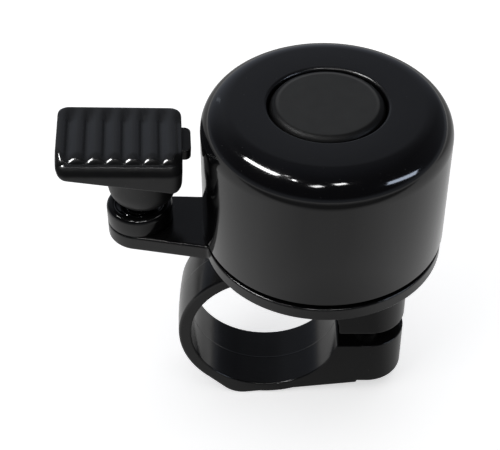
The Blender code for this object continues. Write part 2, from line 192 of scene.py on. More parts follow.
# Fasteners that keep their CAD shape, and the finish of each
EASED_EDGE = 0.08
HIDDEN_HARDWARE = {
    "dome_screw": "steel",
    "dome_screw_washer": "steel",
    "dome_lock_washer": "steel",
    "dome_grommet": "rubber",
    "post_insert": "brass",
    "clamp_washer": "screw",
    "clamp_nut": "screw",
    "spring_seat_washer": "steel",
    "lever_stud": "steel",
}

# Size of the meshing cells
MOULDING_CELL = 0.21
LEVER_CELL = 0.14
CLAMP_SCREW_CELL = 0.11
SMALL_CELL = 0.1

# Floor and lamps: places from the bore's centre, widths, power in watts, colour
FLOOR_HALF = 3000
FLOOR_GLOW = 0.62
DIM_SPOT = (8, -75)  # slightly dimmer floor in front of the bell
DOME_SHADE = (12, -14)  # dimmer floor under the dome
LAMP_AIM = (0, 0, 20)
SOFT_LAMPS = (
    ("overhead", (0, 0, 900), 1200, 5.2),
    ("fill_left", (-600, -400, 500), 500, 1.4),
)
TUBE_LAMPS = (
    ("tube", (-417, 90, 517), (-295, -145, 591), 80, 3.0),
    ("window_right", (469, -333, 359), (627, -111, 215), 90, 0.8, (0.72, 0.82, 1.0)),
    ("window_back", (-330, 580, 190), (-290, 590, 330), 26, 0.006, (0.80, 0.90, 1.0)),
    ("front_lamp_left", (-103, -394, 543), (-29, -357, 579), 60, 0.38),
    ("front_lamp_right", (64, -309, 605), (136, -270, 612), 60, 0.38),
)
SMALL_LAMPS = (
    ("small_lamp", (-222, -125, 628), 20, 0.03),
    ("edge_lamp", (-204, -230, 590), 24, 0.16),
)

# Tone of the room from the horizon up, against the height of the direction looked in
ROOM_TONES = (
    (0.0, (0.40, 0.42, 0.46)),
    (0.10, (0.36, 0.39, 0.45)),
    (0.30, (0.28, 0.30, 0.35)),
    (0.48, (0.23, 0.245, 0.28)),
    (0.62, (0.19, 0.20, 0.225)),
    (0.75, (0.11, 0.115, 0.13)),
    (1.0, (0.13, 0.14, 0.17)),
)

# Camera, in millimetres from the bore's centre
CAMERA_PLACE = (-0.962, -144.176, 148.334)
CAMERA_FORWARD = (-0.006787, 0.740641, -0.671866)
CAMERA_RIGHT = (0.999977, 0.005553, -0.003980)
SENSOR_WIDTH = 36
LENS = 95.22

JOINTS = {joint["name"]: joint for joint in frame["joints"]}
BAND_HINGE = np.array(JOINTS["clamp_squeeze"]["pos_m"]) / MM
BORE = BAND_HINGE + ((BORE_R + BAND_R) / 2, 0, 0)


def box_mm(node):
    """Corners of a node, in millimetres from the bore's centre."""
    low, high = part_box(node)
    return np.array(low) / MM - BORE, np.array(high) / MM - BORE


def metres(place):
    """A point given in millimetres from the bore's centre, in the row's frame."""
    return Vector((np.array(place, float) + BORE) * MM)


def find_places():
    """Reads from the frame where things are, in millimetres from the bore's centre."""
    dome_low, dome_high = box_mm("dome")
    plate_low, plate_high = box_mm("base")
    cup_low, cup_high = box_mm("spring_cup")
    cap_low, cap_high = box_mm("dome_cap")
    screw_low, screw_high = box_mm("clamp_screw")
    pivot = np.array(JOINTS["hammer_flick"]["pos_m"]) / MM - BORE
    return {
        "dome_x": (dome_low[0] + dome_high[0]) / 2,
        "dome_r": (dome_high[0] - dome_low[0]) / 2,
        "dome_bottom": dome_low[2],
        "dome_top": dome_high[2],
        "cap_r": (cap_high[0] - cap_low[0]) / 2,
        "cap_bottom": cap_low[2],
        "cap_top": cap_high[2],
        "plate_r": (plate_high[1] - plate_low[1]) / 2,
        "post_top": plate_high[2],
        "half": box_mm("clamp_strap")[1][1],
        "ear_x": (screw_low[0] + screw_high[0]) / 2,
        "screw": (screw_low, screw_high),
        "nut": box_mm("clamp_nut"),
        "anchor": box_mm("spring_anchor_screw"),
        "arm_end": pivot[:2],
        "arm_r": (cup_high[0] - cup_low[0]) / 2,
        "cup": (cup_low, cup_high),
        "pivot": pivot,
        "floor": CAD_BOX[0][2] / MM - BORE[2],
    }


AT = find_places()


# ---------------------------------------------------------------- distances

def round_and(a, b, r):
    """Common part of two shapes, its edge rounded to radius r."""
    outside = np.hypot(np.maximum(a + r, 0), np.maximum(b + r, 0)) - r
    return np.minimum(np.maximum(a, b), -r) + np.maximum(outside + r, 0)


def round_or(a, b, r):
    """Both shapes together, with a fillet of radius r where they meet."""
    return -round_and(-a, -b, r)


def carve(a, tool, r):
    """Shape a with the tool's shape taken away, the new edge rounded to radius r."""
    return round_and(a, -tool, r)


def corner_2d(u, v, first, second, r):
    """Two half-planes (normal_u, normal_v, distance) whose common corner has radius r."""
    (au, av, ad), (bu, bv, bd) = first, second
    det = au * bv - av * bu
    cu = ((ad - r) * bv - av * (bd - r)) / det
    cv = (au * (bd - r) - (ad - r) * bu) / det
    pu, pv = u - cu, v - cv
    along_a = (pu * bv - pv * bu) / det
    along_b = (au * pv - av * pu) / det
    flat = np.maximum(au * u + av * v - ad, bu * u + bv * v - bd)
    return np.where((along_a > 0) & (along_b > 0), np.hypot(pu, pv) - r, flat)


def rounded_rectangle(x, y, x0, x1, y0, y1, r):
    dx = np.abs(x - (x0 + x1) / 2) - (x1 - x0) / 2 + r
    dy = np.abs(y - (y0 + y1) / 2) - (y1 - y0) / 2 + r
    return np.minimum(np.maximum(dx, dy), 0) + np.hypot(np.maximum(dx, 0), np.maximum(dy, 0)) - r


def slab(z, low, high):
    """The space between two heights."""
    return np.abs(z - (low + high) / 2) - (high - low) / 2


def cross_recess(x, y, half_width, reach):
    """Plan of a cross-shaped driver recess."""
    one = np.maximum(np.abs(x) - reach, np.abs(y) - half_width)
    two = np.maximum(np.abs(y) - reach, np.abs(x) - half_width)
    return np.minimum(one, two)


# ---------------------------------------------------------------- meshing

def sample(field, axes):
    """The field on a grid, worked out slice by slice."""
    shape = [len(axis) for axis in axes]
    values = np.empty(shape, np.float32)
    y, z = axes[1][None, :, None], axes[2][None, None, :]
    for start in range(0, shape[0], 6):
        x = axes[0][start:start + 6, None, None]
        grid = np.broadcast_arrays(x, y, z)
        values[start:start + 6] = field(*grid)
    return values


def slope(field, points, step=0.004):
    found = np.empty_like(points)
    for axis in range(3):
        ahead, behind = points.copy(), points.copy()
        ahead[:, axis] += step
        behind[:, axis] -= step
        found[:, axis] = (field(*ahead.T) - field(*behind.T)) / (2 * step)
    return found


def cell_corners():
    return [np.array((i, j, k)) for i in (0, 1) for j in (0, 1) for k in (0, 1)]


def surface_points(values, active):
    """One point per crossed cell: the mean of the places where its edges cross the surface."""
    cells = np.argwhere(active)
    total = np.zeros(cells.shape)
    hits = np.zeros(len(cells))
    corners = cell_corners()
    for a in corners:
        for b in corners:
            if (b - a).sum() != 1 or np.abs(b - a).sum() != 1:
                continue
            va = values[tuple((cells + a).T)].astype(float)
            vb = values[tuple((cells + b).T)].astype(float)
            crossed = (va < 0) != (vb < 0)
            share = np.where(crossed, va / np.where(crossed, va - vb, 1), 0)
            total += crossed[:, None] * (cells + a + share[:, None] * (b - a))
            hits += crossed
    return total / hits[:, None]


def surface_quads(solid, index):
    """One face for each grid edge that crosses the surface, wound to face outward."""
    quads = []
    for axis in range(3):
        u, v = (axis + 1) % 3, (axis + 2) % 3
        near = np.moveaxis(solid, (axis, u, v), (0, 1, 2))
        cells = np.moveaxis(index, (axis, u, v), (0, 1, 2))
        i, j, k = np.nonzero(near[:-1, 1:-1, 1:-1] != near[1:, 1:-1, 1:-1])
        outward = near[i, j + 1, k + 1]
        ring = np.stack(
            [cells[i, j, k], cells[i, j + 1, k], cells[i, j + 1, k + 1], cells[i, j, k + 1]], axis=1
        )
        ring[~outward] = ring[~outward][:, ::-1]
        quads.append(ring)
    return np.concatenate(quads)


def mesh_object(name, points, faces, normals=None):
    """An object in metres from points in millimetres from the bore's centre."""
    mesh = bpy.data.meshes.new(name)
    points = (np.array(points) + BORE) * MM
    mesh.from_pydata(points.tolist(), [], faces.tolist() if hasattr(faces, "tolist") else faces)
    mesh.validate()
    mesh.shade_smooth()
    if normals is not None:
        mesh.normals_split_custom_set_from_vertices(normals.tolist())
    obj = bpy.data.objects.new(name, mesh)
    bpy.context.scene.collection.objects.link(obj)
    return obj


def skin(name, field, low, high, cell, placed=Matrix.Identity(4)):
    """Meshes the zero surface of field inside low..high (mm) and returns the object, in metres."""
    cell *= COARSE
    low = np.array(low, float) - 2 * cell
    counts = np.ceil((np.array(high) - low) / cell).astype(int) + 3
    axes = [low[i] + cell * np.arange(counts[i]) for i in range(3)]
    values = sample(field, axes)
    solid = values < 0
    inside = np.zeros([n - 1 for n in solid.shape], np.int8)
    for i, j, k in cell_corners():
        inside += solid[
            i:solid.shape[0] - 1 + i, j:solid.shape[1] - 1 + j, k:solid.shape[2] - 1 + k
        ]
    active = (inside > 0) & (inside < 8)
    index = np.full(active.shape, -1)
    index[active] = np.arange(active.sum())
    start = low + cell * surface_points(values, active)
    points = start.copy()
    for _ in range(4):
        normal = slope(field, points)
        steep = np.maximum((normal ** 2).sum(1), 0.05)
        move = -(field(*points.T) / steep)[:, None] * normal
        length = np.maximum(np.linalg.norm(move, axis=1), 1e-9)[:, None]
        points += move * np.minimum(1, 0.5 * cell / length)
    drift = points - start
    length = np.maximum(np.linalg.norm(drift, axis=1), 1e-9)[:, None]
    points = start + drift * np.minimum(1, 0.9 * cell / length)
    normal = slope(field, points)
    normal /= np.maximum(np.linalg.norm(normal, axis=1), 1e-9)[:, None]
    turn = np.array(placed.to_3x3())
    points = points @ turn.T + np.array(placed.translation)
    return mesh_object(name, points, surface_quads(solid, index), normal @ turn.T)


def arc(centre, r, start, end, steps):
    angles = [radians(start + (end - start) * i / steps) for i in range(steps + 1)]
    return [(centre[0] + r * cos(a), centre[1] + r * sin(a)) for a in angles]


def lathe(name, profile, centre, steps=192):
    """A closed (radius, height) profile turned about a vertical axis. Radius 0 closes on the axis."""
    steps = round(steps / COARSE)
    points, faces, rows = [], [], []
    for radius, height in profile:
        if radius < 1e-6:
            rows.append([len(points)] * steps)
            points.append((centre[0], centre[1], height))
            continue
        rows.append(list(range(len(points), len(points) + steps)))
        for i in range(steps):
            angle = 2 * pi * i / steps
            points.append((centre[0] + radius * cos(angle), centre[1] + radius * sin(angle), height))
    closed = profile[0][0] > 1e-6
    pairs = list(zip(rows, rows[1:])) + ([(rows[-1], rows[0])] if closed else [])
    for upper, lower in pairs:
        for i in range(steps):
            k = (i + 1) % steps
            ring = [upper[i], lower[i], lower[k], upper[k]]
            face = [p for n, p in enumerate(ring) if p not in ring[:n]]
            if len(face) > 2:
                faces.append(face)
    obj = mesh_object(name, points, faces)
    obj.data.set_sharp_from_angle(angle=radians(32))
    return obj


def dress(piece, look, nodes, body=None):
    """Gives a piece its material, hides the CAD nodes it stands for, and lets it ride on a body."""
    piece.data.materials.append(look)
    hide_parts(*nodes)
    if body:
        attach(piece, body)


# ---------------------------------------------------------------- moulded base and band

def band_outline(x, y, z):
    """Side view of the band, the saddle above it and the two clamp ears."""
    rho = np.hypot(x, z)
    crown = BAND_CROWN * np.clip(1 - (y / AT["half"]) ** 2, 0, 1)
    ring = rho - BAND_R - crown
    run = np.array(RAMP_END) - np.array(BAND_CORNER)
    run /= np.hypot(*run)
    ramp_normal = (run[1], -run[0])
    ramp = (*ramp_normal, ramp_normal[0] * BAND_CORNER[0] + ramp_normal[1] * BAND_CORNER[1])
    diagonal = 0.5 ** 0.5
    shoulder = (-diagonal, -diagonal, BAND_R)
    wedge = corner_2d(x, z, shoulder, ramp, BAND_CORNER_R)
    wedge = np.maximum(np.maximum(wedge, -BAND_R * diagonal - x), x - RAMP_END[0])
    ear = np.maximum(EAR_BOTTOM - z, EAR_START - x)
    below = np.maximum(np.minimum(wedge, ear), z + 1)
    above = np.maximum(np.maximum(SADDLE_LEFT - x, z - PLATE_BOTTOM - 1), -1.5 - z)
    return np.minimum(round_or(ring, above, SADDLE_FILLET_R), below)


def moulding_field(x, y, z):
    """Band and ears, the plate with its arm and post, and the holes for what they hold."""
    rho = np.hypot(x, z)
    to_ear = np.hypot(np.maximum(x - AT["ear_x"], 0), y)
    body = round_and(band_outline(x, y, z), to_ear - AT["half"], BAND_EDGE_R)
    body = carve(body, rho - BORE_R, BORE_EDGE_R)
    slot = np.maximum(np.maximum(-x, z - SLOT_TOP), SLOT_BOTTOM - z)
    body = carve(body, slot, 0.2)

    to_dome = np.hypot(x - AT["dome_x"], y)
    plate = round_and(to_dome - AT["plate_r"], slab(z, PLATE_BOTTOM, PLATE_TOP), PLATE_EDGE_R)
    ax, ay = AT["arm_end"]
    run = np.array((ARM_ROOT[0] - ax, ARM_ROOT[1] - ay))
    share = np.clip(((x - ax) * run[0] + (y - ay) * run[1]) / (run @ run), 0, 1)
    arm_plan = np.hypot(x - ax - share * run[0], y - ay - share * run[1])
    arm_plan = arm_plan - AT["arm_r"] - share * (ARM_ROOT_R - AT["arm_r"])
    arm = round_and(arm_plan, slab(z, ARM_BOTTOM, PLATE_TOP), ARM_EDGE_R)
    body = round_or(body, round_or(plate, arm, 0.4), 0.8)
    post = np.maximum(np.maximum(to_dome - POST_R, z - AT["post_top"]), WITHIN_PLATE - z)
    body = round_or(body, post, POST_FILLET_R)

    body = carve(body, np.maximum(to_dome - POST_BORE_R, POST_BORE_END - z), 0.12)
    to_cup = np.hypot(x - ax, y - ay)
    body = carve(body, np.maximum(to_cup - SPIGOT_HOLE_R, SPIGOT_HOLE_END - z), 0.1)
    sink = ANCHOR_HOLE_R + np.clip(ARM_BOTTOM + ANCHOR_SINK_RISE - z, 0, ANCHOR_SINK_DEPTH)
    body = carve(body, np.maximum(to_cup - sink, z - WITHIN_PLATE), 0.1)
    to_screw = np.hypot(x - AT["ear_x"], y)
    body = carve(body, np.maximum(to_screw - SCREW_HOLE_R, z - SCREW_HOLE_END), 0.15)
    body = carve(body, np.maximum(to_screw - COUNTERBORE_R, z - COUNTERBORE_TOP), 0.2)
    low, high = AT["nut"]
    nut_half = (high[0] - low[0]) / 2
    pocket = np.abs(x - AT["ear_x"]) - nut_half - HARDWARE_GAP
    pocket = np.maximum(pocket, low[1] - HARDWARE_GAP - y)
    pocket = np.maximum(pocket, slab(z, low[2] - HARDWARE_GAP, high[2] + HARDWARE_GAP))
    return carve(body, pocket, 0.15)


def build_moulding(looks):
    """Base and band in one piece."""
    low = (-24.0, -17.7, -14.3)
    high = (AT["dome_x"] + AT["plate_r"] + 0.2, 17.7, AT["post_top"])
    piece = skin("moulded_base_and_band", moulding_field, low, high, MOULDING_CELL)
    dress(piece, looks["moulding"], ("base", "clamp_strap"))
    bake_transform(piece)


# ---------------------------------------------------------------- dome and cap

def build_dome(looks):
    r, top, bottom = AT["dome_r"], AT["dome_top"], AT["dome_bottom"]
    corner = (r - DOME_CORNER_R, top - DOME_CORNER_R)
    lip = (RECESS_R + RECESS_LIP_R, top - RECESS_LIP_R)
    under, ceiling = RECESS_FLOOR - DOME_WALL, top - DOME_WALL
    inner = RECESS_R + DOME_WALL
    corner_r = RECESS_CORNER_R
    edge = (r - DOME_WALL / 2, bottom + DOME_WALL / 2)
    profile = (
        [(DOME_HOLE_R, RECESS_FLOOR)]
        + arc((RECESS_R - corner_r, RECESS_FLOOR + corner_r), corner_r, -90, 0, 6)
        + arc(lip, RECESS_LIP_R, 180, 90, 14)
        + arc(corner, DOME_CORNER_R, 90, 0, 40)
        + arc(edge, DOME_WALL / 2, 0, -180, 14)
        + arc(corner, DOME_CORNER_R - DOME_WALL, 0, 90, 16)
        + arc((inner + 0.4, ceiling - 0.4), 0.4, 90, 180, 5)
        + arc((inner - corner_r, under + corner_r), corner_r, 0, -90, 5)
        + [(DOME_HOLE_R, under)]
    )
    dome = lathe("dome_shell", profile, (AT["dome_x"], 0), 256)
    dress(dome, looks["paint"], ("dome",), "base")


def build_cap(looks):
    r, bottom, top = AT["cap_r"], AT["cap_bottom"], AT["cap_top"] + CAP_RISE
    shoulder = (r - CAP_EDGE_R, top - CAP_EDGE_R)
    inner = r - CAP_WALL
    ceiling = top - CAP_WALL
    profile = (
        [(0, top), (r - CAP_EDGE_R - 1.2, top)]
        + arc(shoulder, CAP_EDGE_R, 90, 0, 18)
        + arc((r - 0.3, bottom + 0.3), 0.3, 0, -90, 5)
        + arc((inner + 0.2, bottom + 0.2), 0.2, -90, -180, 4)
        + arc((inner - 0.4, ceiling - 0.4), 0.4, 0, 90, 5)
        + [(0, ceiling)]
    )
    cap = lathe("cap_disc", profile, (AT["dome_x"], 0), 192)
    dress(cap, looks["cap"], ("dome_cap",), "base")


# ---------------------------------------------------------------- spring cup and spring

def build_cup(looks):
    """Cup with a rolled ring on top and a spigot that stands in the arm."""
    low, high = AT["cup"]
    r, top = AT["arm_r"], high[2] + CUP_RISE
    mouth, seam = top - CUP_MOUTH_DROP, PLATE_TOP + HARDWARE_GAP
    profile = (
        arc((CUP_BORE_R + 0.4, mouth), 0.25, 180, 90, 4)
        + arc((r - CUP_RING_R, top - CUP_RING_R), CUP_RING_R, 165, 0, 24)
        + arc((r - 0.12, seam + 0.12), 0.12, 0, -90, 4)
        + arc((SPIGOT_R - 0.1, low[2] + 0.1), 0.1, 0, -90, 3)
        + [(ANCHOR_HOLE_R, low[2]), (ANCHOR_HOLE_R, CUP_FLOOR), (CUP_BORE_R, CUP_FLOOR)]
        + arc((CUP_BORE_R + 0.15, mouth), 0.15, 180, 150, 2)
    )
    cup = lathe("spring_cup_turned", profile, AT["arm_end"], 128)
    dress(cup, looks["plastic"], ("spring_cup",), "base")


def spring_centre(height):
    """Shift and lean of the coil at this height from the pivot."""
    share = min(max((height + SPRING_BEND_HALF) / (2 * SPRING_BEND_HALF), 0), 1)
    return sin(LEVER_TILT) * max(height, 0), LEVER_TILT * share * share * (3 - 2 * share)


def coil(name, low, high, looks):
    """Part of the close-wound coil. Its wire ends are ground flat and closed."""
    per_turn, sides = round(40 / COARSE), 12
    steps = round((high - low) / COIL_PITCH * per_turn)
    toward = Matrix.Rotation(LEVER_TURN, 3, "Z")
    points, faces = [], []
    for i in range(steps + 1):
        height = low + (high - low) * i / steps
        turn = 2 * pi * height / COIL_PITCH
        shift, lean = spring_centre(height)
        tilt = Matrix.Rotation(lean, 3, "Y")
        out = Vector((cos(turn), sin(turn), 0))
        for j in range(sides):
            angle = 2 * pi * j / sides
            local = out * (COIL_R + WIRE_R * cos(angle)) + Vector((0, 0, WIRE_R * sin(angle)))
            points.append(toward @ (tilt @ local + Vector((shift, 0, height))) + Vector(AT["pivot"]))
    for i in range(steps):
        for j in range(sides):
            k = (j + 1) % sides
            a, b = i * sides, (i + 1) * sides
            faces.append([a + j, a + k, b + k, b + j])
    faces.append(list(range(sides))[::-1])
    faces.append([steps * sides + j for j in range(sides)])
    piece = mesh_object(name, points, faces)
    dress(piece, looks["spring"], ("hammer_spring",))
    return piece


def build_spring(looks):
    """Two lengths of one coil, shaped to run from the cup through the bend into the lever."""
    lower = coil("spring_lower_turns", SPRING_BELOW, 0, looks)
    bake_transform(lower)
    upper = coil("spring_upper_turns", 0, SPRING_ABOVE, looks)
    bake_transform(upper)


# ---------------------------------------------------------------- thumb lever

def rib_height(x, y):
    """Height of the thumb surface: rounded ribs that roll down in front and merge at the back."""
    wave = np.cos(pi * (x - FIRST_RIB) / RIB_PITCH) ** 2
    crest = np.sqrt((wave + RIB_ROUNDNESS) / (1 + RIB_ROUNDNESS))
    merge = np.clip((y - RIB_BACK + RIB_FADE) / RIB_FADE, 0, 1)
    crest = 1 - (1 - crest) * (1 - merge ** 2 * (3 - 2 * merge))
    front = np.clip((RIB_FRONT + RIB_END - y) / RIB_END, 0, 1)
    return RIB_CREST - RIB_DEPTH * (1 - crest * np.sqrt(np.maximum(1 - front ** 2, 0.0025)))


def lever_field(x, y, z):
    """Ribbed pad, the neck under it, and the holes for spring, stud and striker."""
    plan = rounded_rectangle(x, y, PAD_LEFT, PAD_RIGHT, PAD_FRONT, PAD_BACK, PAD_CORNER_R)
    fall = np.array(UNDERSIDE_RUN)
    fall /= np.hypot(*fall)
    offset = fall[1] * UNDERSIDE_START[0] - fall[0] * UNDERSIDE_START[1]
    under = (fall[1], -fall[0], offset)
    left = corner_2d(x, z, (-1.0, 0.0, -PAD_LEFT), under, PAD_UNDER_LEFT_R)
    right = corner_2d(x, z, under, (1.0, 0.0, PAD_RIGHT), PAD_UNDER_RIGHT_R)
    body = round_and(plan, np.maximum(left, right), PAD_SIDE_R)
    near_front = np.clip((FRONT_LIP_START - y) / FRONT_LIP_RUN, 0, 1)
    edge = PAD_EDGE_R + (FRONT_LIP_R - PAD_EDGE_R) * near_front ** 2 * (3 - 2 * near_front)
    body = round_and(body, z - rib_height(x, y), edge)

    to_neck = np.hypot(x - NECK_X, y)
    hollow = np.clip((NECK_BELLY - z) / (NECK_BELLY - NECK_FOOT), 0, 1) ** NECK_FLARE
    reach = NECK_BELLY_R - (NECK_BELLY_R - NECK_FOOT_R) * hollow
    neck = round_and(to_neck - reach, slab(z, NECK_FOOT, NECK_TOP), 0.2)
    body = round_or(body, neck, 0.35)

    centre = np.hypot(x, y)
    body = carve(body, np.maximum(centre - SOCKET_R, z - SOCKET_TOP), 0.15)
    body = carve(body, np.maximum(centre - STUD_HOLE_R, z - STUD_HOLE_TOP), 0.05)
    return carve(body, striker_field(x, y, z, STRIKER_GAP), 0.12)


def striker_field(x, y, z, margin=0.0):
    """The striker, or with a margin the slot it is pressed into, which is open to the right."""
    half = STRIKER_HALF + margin
    right = STRIKER_RIGHT + (2 if margin else 0)
    front, back = STRIKER_Y - half, STRIKER_Y + half
    plan = rounded_rectangle(x, y, STRIKER_LEFT - margin, right, front, back, STRIKER_CORNER_R)
    return round_and(plan, slab(z, STRIKER_LOW - margin, STRIKER_HIGH + margin), STRIKER_EDGE_R)


def build_lever(looks):
    turn = Matrix.Rotation(LEVER_TURN, 4, "Z") @ Matrix.Rotation(LEVER_TILT, 4, "Y")
    placed = Matrix.Translation(Vector(AT["pivot"])) @ turn
    low, high = (PAD_LEFT, PAD_FRONT, NECK_FOOT), (PAD_RIGHT, PAD_BACK, RIB_CREST)
    lever = skin("thumb_lever_moulding", lever_field, low, high, LEVER_CELL, placed)
    dress(lever, looks["lever"], ("thumb_lever",), "lever")

    low, high = (2.0, -2.5, 9.4), (7.4, 3.2, 11.5)
    striker = skin("striker_block", striker_field, low, high, SMALL_CELL, placed)
    dress(striker, looks["striker"], ("striker",), "lever")


# ---------------------------------------------------------------- screws that can be seen

def clamp_screw_field(x, y, z):
    """Pan head below with a cross recess, and a threaded shank above it."""
    low, high = AT["screw"]
    px, py = x - AT["ear_x"], y
    r = np.hypot(px, py)
    head_top = low[2] + SCREW_HEAD_HEIGHT
    head = np.maximum(round_and(r - SCREW_HEAD_R, low[2] - z, 0.7), z - head_top)
    recess = np.maximum(cross_recess(px, py, *CLAMP_CROSS), z - low[2] - CLAMP_CROSS_DEPTH)
    head = carve(head, recess, 0.06)
    turn = np.arctan2(py, px) / (2 * pi)
    phase = np.abs(((z / THREAD_PITCH - turn) % 1.0) - 0.5) * 2
    thread = r - THREAD_ROOT_R - THREAD_DEPTH * np.clip(phase * 1.3 - 0.15, 0, 1)
    shank = round_and(thread, z - high[2], 0.3)
    shank = np.maximum(shank, head_top - 0.4 - z)
    return np.minimum(head, shank)


def anchor_screw_field(x, y, z):
    """Countersunk head below with a cross recess, and a plain pin above it."""
    low, high = AT["anchor"]
    px, py = x - AT["arm_end"][0], y - AT["arm_end"][1]
    r = np.hypot(px, py)
    reach = ANCHOR_R + np.maximum(low[2] + ANCHOR_CONE_HEIGHT - z, 0)
    head = np.maximum(np.maximum(r - reach, low[2] - z), r - ANCHOR_HEAD_R)
    recess = np.maximum(cross_recess(px, py, *ANCHOR_CROSS), z - low[2] - ANCHOR_CROSS_DEPTH)
    head = carve(head, recess, 0.05)
    return round_and(head, z - high[2], 0.25)


def build_seen_screws(looks):
    low, high = AT["screw"]
    screw = skin("clamp_screw_threaded", clamp_screw_field, low, high, CLAMP_SCREW_CELL)
    dress(screw, looks["screw"], ("clamp_screw",), "clamp_screw")
    low, high = AT["anchor"]
    anchor = skin("anchor_screw_recessed", anchor_screw_field, low, high, SMALL_CELL)
    dress(anchor, looks["steel"], ("spring_anchor_screw",), "base")


# ---------------------------------------------------------------- materials

class Nodes:
    """A small helper for building one node tree."""

    def __init__(self, tree, coordinates):
        self.tree = tree
        self.where = self.node("ShaderNodeTexCoord").outputs[coordinates]

    def node(self, kind, **settings):
        made = self.tree.nodes.new(kind)
        for key, value in settings.items():
            setattr(made, key, value)
        return made

    def link(self, value, socket):
        """Joins another node's output to the socket, or sets it to a plain value."""
        if hasattr(value, "is_linked"):
            self.tree.links.new(value, socket)
        else:
            socket.default_value = value

    def spread(self, value, low, high, new_low, new_high):
        """Passes from new_low at low to new_high at high, and holds them outside."""
        made = self.node("ShaderNodeMapRange")
        self.link(value, made.inputs["Value"])
        self.link(low, made.inputs["From Min"])
        self.link(high, made.inputs["From Max"])
        self.link(new_low, made.inputs["To Min"])
        self.link(new_high, made.inputs["To Max"])
        return made.outputs["Result"]

    def sums(self, kind, a, b):
        made = self.node("ShaderNodeMath", operation=kind)
        self.link(a, made.inputs[0])
        self.link(b, made.inputs[1])
        return made.outputs[0]

    def mix(self, share, first, second):
        made = self.node("ShaderNodeMix", data_type="RGBA")
        self.link(share, made.inputs[0])
        self.link(first, made.inputs[6])
        self.link(second, made.inputs[7])
        return made.outputs[2]

    def part(self, vector, axis):
        """The X, Y or Z of a vector."""
        made = self.node("ShaderNodeSeparateXYZ")
        self.link(vector, made.inputs[0])
        return made.outputs[axis]

    def distance(self, point):
        made = self.node("ShaderNodeVectorMath", operation="DISTANCE")
        self.link(self.where, made.inputs[0])
        self.link(point, made.inputs[1])
        return made.outputs["Value"]


class Look(Nodes):
    """One material and its shader."""

    def __init__(self, name):
        self.material = bpy.data.materials.new(name)
        self.material.use_nodes = True
        super().__init__(self.material.node_tree, "Object")
        self.shader = self.tree.nodes["Principled BSDF"]

    def set(self, **values):
        """Sets the shader's inputs, whose names are written with _ for a space."""
        for key, value in values.items():
            self.link(value, self.shader.inputs[key.replace("_", " ")])

    def noise(self, scale, detail=3.0, roughness=0.5, stretch=None):
        made = self.node("ShaderNodeTexNoise")
        self.link(scale, made.inputs["Scale"])
        self.link(detail, made.inputs["Detail"])
        self.link(roughness, made.inputs["Roughness"])
        place = self.where
        if stretch:
            mapping = self.node("ShaderNodeMapping")
            self.link(stretch, mapping.inputs["Scale"])
            self.link(self.where, mapping.inputs["Vector"])
            place = mapping.outputs["Vector"]
        self.link(place, made.inputs["Vector"])
        return made.outputs["Fac"]

    def bump(self, heights):
        """Chains bumps given as (height, distance in metres, strength)."""
        normal = None
        for height, distance, strength in heights:
            made = self.node("ShaderNodeBump")
            self.link(distance, made.inputs["Distance"])
            self.link(strength, made.inputs["Strength"])
            self.link(height, made.inputs["Height"])
            if normal:
                self.link(normal, made.inputs["Normal"])
            normal = made.outputs["Normal"]
        self.link(normal, self.shader.inputs["Normal"])

    def worn_edges(self, strength):
        """The given strength on convex edges, 0 on flat faces."""
        shape = self.node("ShaderNodeNewGeometry")
        return self.spread(shape.outputs["Pointiness"], 0.52, 0.60, 0.0, strength)

    def flatness(self, steepest, flattest=1.0):
        """1 where the surface faces up, 0 where its normal's height falls to steepest."""
        normal = self.node("ShaderNodeNewGeometry").outputs["Normal"]
        return self.spread(self.part(normal, "Z"), steepest, flattest, 0.0, 1.0)

    def radius(self, axis):
        """Distance from a vertical axis through this point."""
        flat = self.node("ShaderNodeVectorMath", operation="MULTIPLY")
        self.link(self.where, flat.inputs[0])
        self.link((1, 1, 0), flat.inputs[1])
        made = self.node("ShaderNodeVectorMath", operation="DISTANCE")
        self.link(flat.outputs["Vector"], made.inputs[0])
        self.link((axis[0], axis[1], 0), made.inputs[1])
        return made.outputs["Value"]

    def mix_value(self, value, low, high, below, above):
        """The number below up to low, passing to above at high."""
        made = self.node("ShaderNodeMix", data_type="FLOAT")
        self.link(self.spread(value, low, high, 0.0, 1.0), made.inputs[0])
        self.link(below, made.inputs[2])
        self.link(above, made.inputs[3])
        return made.outputs[0]


def grey(level):
    return (level, level, level, 1)


